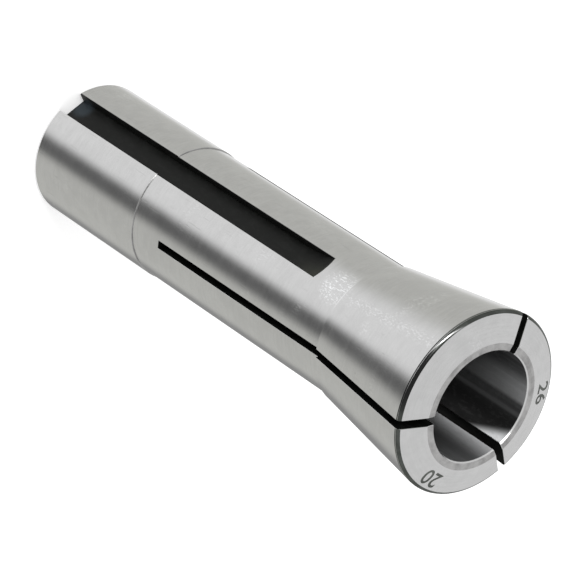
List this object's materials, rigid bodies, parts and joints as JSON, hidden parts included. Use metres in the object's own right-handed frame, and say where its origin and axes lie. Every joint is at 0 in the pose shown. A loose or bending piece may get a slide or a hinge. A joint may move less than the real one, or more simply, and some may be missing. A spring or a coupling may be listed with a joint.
{
  "type": "milling machine collet",
  "caption": "Slit steel spring collet with a parallel shank, a keyed body and a steep closing taper at the mouth, pulled up by a drawbar thread.",
  "frame": {"origin": "centre of the flat rear (drawbar) face, on the axis", "axes": "+Z along the axis from the drawbar end to the mouth, so that the collet stands on its rear face; the key slot faces -Y, and one slit lies opposite it in +Y"},
  "size_m": [0.0318, 0.0318, 0.1028],
  "materials": {
    "collet": "satin ground steel, with black oxide in the cuts"
  },
  "bodies": {
    "root": {"collet": "collet"}
  },
  "joints": []
}
